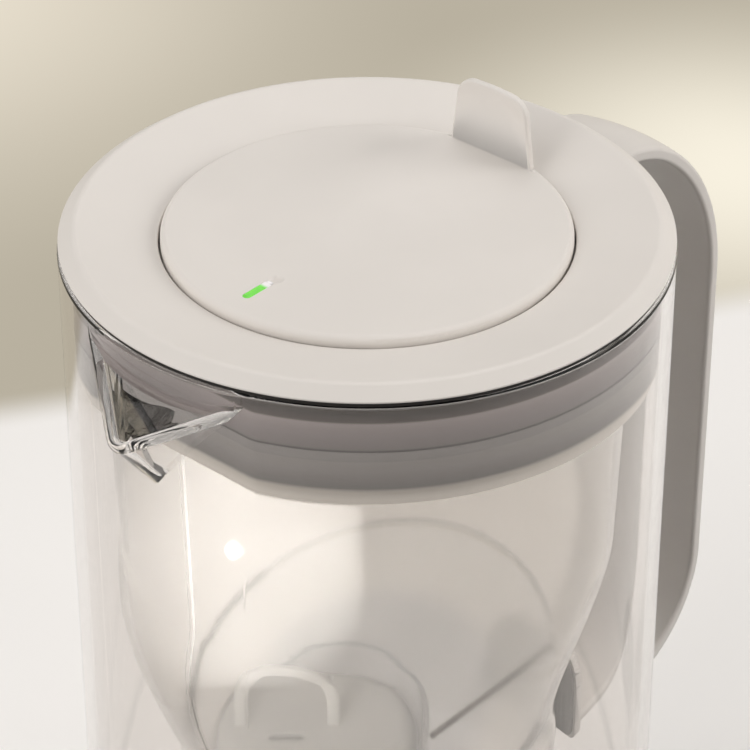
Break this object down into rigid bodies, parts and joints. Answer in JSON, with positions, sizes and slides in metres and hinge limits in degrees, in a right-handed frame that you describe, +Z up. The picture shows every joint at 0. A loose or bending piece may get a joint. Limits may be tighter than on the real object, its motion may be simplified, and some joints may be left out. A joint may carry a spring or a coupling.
{
  "type": "water filter pitcher",
  "caption": "Cylindrical glass jug with a spout, strap handle, drop-in filter funnel and cartridge, and a round lid with a hinged fill flap and indicator light.",
  "frame": {"origin": "centre of the jug's flat underside, where it stands", "axes": "+Z up along the jug's axis, +X towards the handle, -X towards the spout, +Y across"},
  "size_m": [0.2191, 0.1506, 0.2651],
  "materials": {
    "jug_glass": "clear polished",
    "handle_plastic": "satin warm white",
    "lid_plastic": "satin warm white",
    "bond": "soft grey",
    "funnel_plastic": "clear with a faint warm tint",
    "silicone": "translucent grey silicone",
    "cartridge_plastic": "white moulded",
    "screen": "woven mesh",
    "carbon": "loose granules",
    "resin": "loose beads",
    "steel": "bright",
    "light_window": "clear green",
    "board": "green solder mask",
    "cell_steel": "bright"
  },
  "bodies": {
    "jug": {"glass_jug": "jug_glass", "handle_strap": "handle_plastic", "handle_upper_pad": "bond", "handle_lower_pad": "bond"},
    "funnel": {"funnel": "funnel_plastic", "funnel_skirt": "funnel_plastic", "funnel_floor": "funnel_plastic", "funnel_collar": "funnel_plastic", "collar_seal": "silicone"},
    "cartridge": {"cartridge_body": "cartridge_plastic", "cartridge_cap": "cartridge_plastic", "cartridge_pull_ring": "cartridge_plastic", "cartridge_seal": "silicone", "cartridge_top_mesh": "screen", "cartridge_bottom_mesh": "screen", "carbon_granulate": "carbon", "resin_beads": "resin"},
    "lid": {"lid_cover": "lid_plastic", "lid_frame": "lid_plastic", "lid_seal": "silicone", "lid_screws": "steel", "hinge_pin": "steel"},
    "flap": {"flap_cover": "lid_plastic", "flap_base": "lid_plastic", "flap_seal": "silicone", "light_guide": "light_window", "indicator_led": "light_window", "circuit_board": "board", "battery_contact": "steel", "coin_cell": "cell_steel", "battery_door": "lid_plastic", "battery_door_seal": "silicone", "flap_screws": "steel"}
  },
  "joints": [
    {"name": "funnel_lift", "type": "slide", "parent": "jug", "child": "funnel", "axis": [0, 0, 1], "range_m": [0, 0.23]},
    {"name": "lid_lift", "type": "slide", "parent": "funnel", "child": "lid", "axis": [0, 0, 1], "range_m": [0, 0.06]},
    {"name": "flap_hinge", "type": "hinge", "parent": "lid", "child": "flap", "pos_m": [0.052, 0, 0.243], "axis": [0, 1, 0], "range_deg": [0, 80]},
    {"name": "cartridge_lift", "type": "slide", "parent": "funnel", "child": "cartridge", "axis": [0, 0, 1], "range_m": [0, 0.075]}
  ]
}
